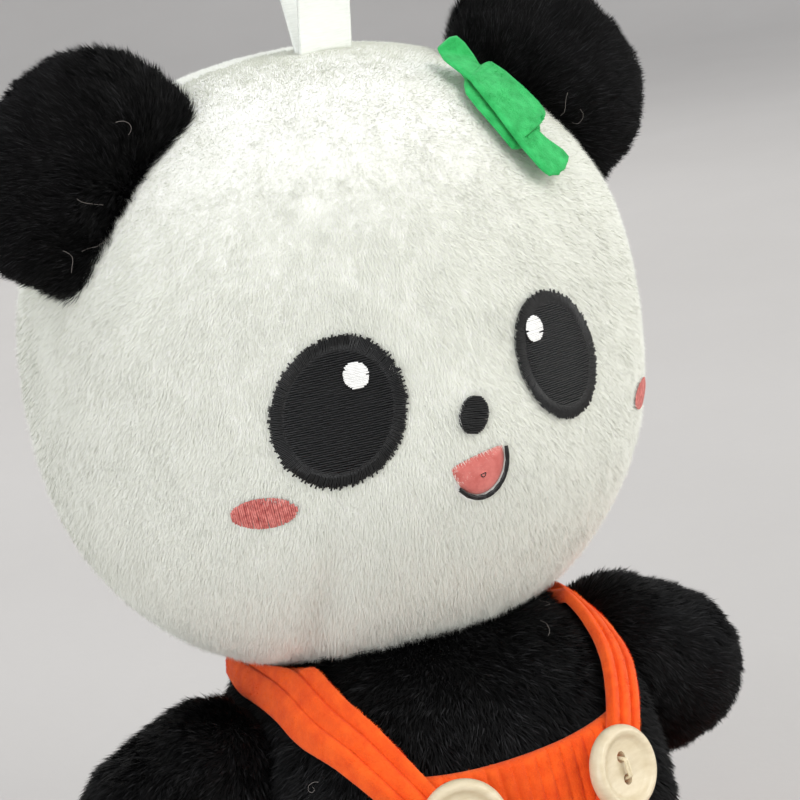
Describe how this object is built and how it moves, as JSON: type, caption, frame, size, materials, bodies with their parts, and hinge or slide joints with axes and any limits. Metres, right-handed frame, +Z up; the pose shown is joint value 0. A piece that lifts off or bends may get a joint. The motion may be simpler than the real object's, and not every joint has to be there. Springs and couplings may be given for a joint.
{
  "type": "plush panda",
  "caption": "Seated plush panda with black ears and limbs, embroidered face, ribbed orange dungarees with cream buttons, a felt leaf and a ribbon hang loop.",
  "frame": {"origin": "middle of the whole part's footprint, on the surface that the panda sits on", "axes": "+Z up through the head to the hang loop; the panda looks along -Y; +X is the panda's left"},
  "size_m": [0.1352, 0.1531, 0.2459],
  "materials": {
    "white_plush": "matt, short pile",
    "black_plush": "matt, long pile",
    "filling": "loose fibre",
    "orange_rib": "matt, ribbed",
    "green_felt": "matt felt",
    "black_stitching": "satin thread",
    "white_stitching": "satin thread",
    "pink_stitching": "satin thread",
    "mouth_felt": "matt",
    "ribbon": "woven satin",
    "button_resin": "semi-gloss",
    "thread": "matt thread"
  },
  "bodies": {
    "torso": {"body_front_panel": "black_plush", "body_back_panel": "black_plush", "body_stuffing": "filling", "pants_front": "orange_rib", "pants_back": "orange_rib", "bib": "orange_rib", "strap_r": "orange_rib", "strap_l": "orange_rib", "button_r": "button_resin", "button_l": "button_resin", "button_thread_r": "thread", "button_thread_l": "thread"},
    "neck": {"neck_seam": "thread"},
    "head": {"head_front_panel": "white_plush", "head_back_panel": "white_plush", "head_stuffing": "filling", "eye_patch_r": "black_stitching", "eye_patch_l": "black_stitching", "eye_glint_r": "white_stitching", "eye_glint_l": "white_stitching", "blush_r": "pink_stitching", "blush_l": "pink_stitching", "nose": "black_stitching", "mouth_fill": "mouth_felt", "mouth_outline": "black_stitching", "leaf_top": "green_felt", "leaf_under": "green_felt"},
    "loop": {"hang_loop": "ribbon"},
    "arm_r": {"arm_r": "black_plush", "arm_stuffing_r": "filling"},
    "leg_r": {"leg_r": "black_plush", "leg_stuffing_r": "filling", "cuff_r": "orange_rib"},
    "ear_r": {"ear_front_r": "black_plush", "ear_back_r": "black_plush", "ear_stuffing_r": "filling"},
    "arm_l": {"arm_l": "black_plush", "arm_stuffing_l": "filling"},
    "leg_l": {"leg_l": "black_plush", "leg_stuffing_l": "filling", "cuff_l": "orange_rib"},
    "ear_l": {"ear_front_l": "black_plush", "ear_back_l": "black_plush", "ear_stuffing_l": "filling"}
  },
  "joints": [
    {"name": "head_turn", "type": "hinge", "parent": "torso", "child": "neck", "pos_m": [0, 0.0245, 0.112], "axis": [0, 0, 1], "range_deg": [-20, 20], "stiffness_Nm_per_rad": 0.25},
    {"name": "head_nod", "type": "hinge", "parent": "neck", "child": "head", "pos_m": [0, 0.0245, 0.112], "axis": [1, 0, 0], "range_deg": [-8, 8], "stiffness_Nm_per_rad": 0.6},
    {"name": "arm_raise_r", "type": "hinge", "parent": "torso", "child": "arm_r", "pos_m": [-0.0425, 0.0125, 0.0715], "axis": [0, 1, 0], "range_deg": [-20, 25], "stiffness_Nm_per_rad": 0.05},
    {"name": "leg_lift_r", "type": "hinge", "parent": "torso", "child": "leg_r", "pos_m": [-0.0215, -0.0075, 0.0187], "axis": [-1, 0, 0], "range_deg": [-15, 18], "stiffness_Nm_per_rad": 0.15},
    {"name": "ear_bend_r", "type": "hinge", "parent": "head", "child": "ear_r", "pos_m": [-0.04178, 0.0115, 0.18135], "axis": [0.6947, 0, 0.7193], "range_deg": [-20, 20], "stiffness_Nm_per_rad": 0.02},
    {"name": "arm_raise_l", "type": "hinge", "parent": "torso", "child": "arm_l", "pos_m": [0.0425, 0.0125, 0.0715], "axis": [0, -1, 0], "range_deg": [-20, 25], "stiffness_Nm_per_rad": 0.05},
    {"name": "leg_lift_l", "type": "hinge", "parent": "torso", "child": "leg_l", "pos_m": [0.0215, -0.0075, 0.0187], "axis": [-1, 0, 0], "range_deg": [-15, 18], "stiffness_Nm_per_rad": 0.15},
    {"name": "ear_bend_l", "type": "hinge", "parent": "head", "child": "ear_l", "pos_m": [0.04178, 0.0115, 0.18135], "axis": [0.6947, 0, -0.7193], "range_deg": [-20, 20], "stiffness_Nm_per_rad": 0.02},
    {"name": "loop_flop", "type": "hinge", "parent": "head", "child": "loop", "pos_m": [0.004, 0.0165, 0.19862], "axis": [1, 0, 0], "range_deg": [-60, 60], "stiffness_Nm_per_rad": 0.002}
  ]
}
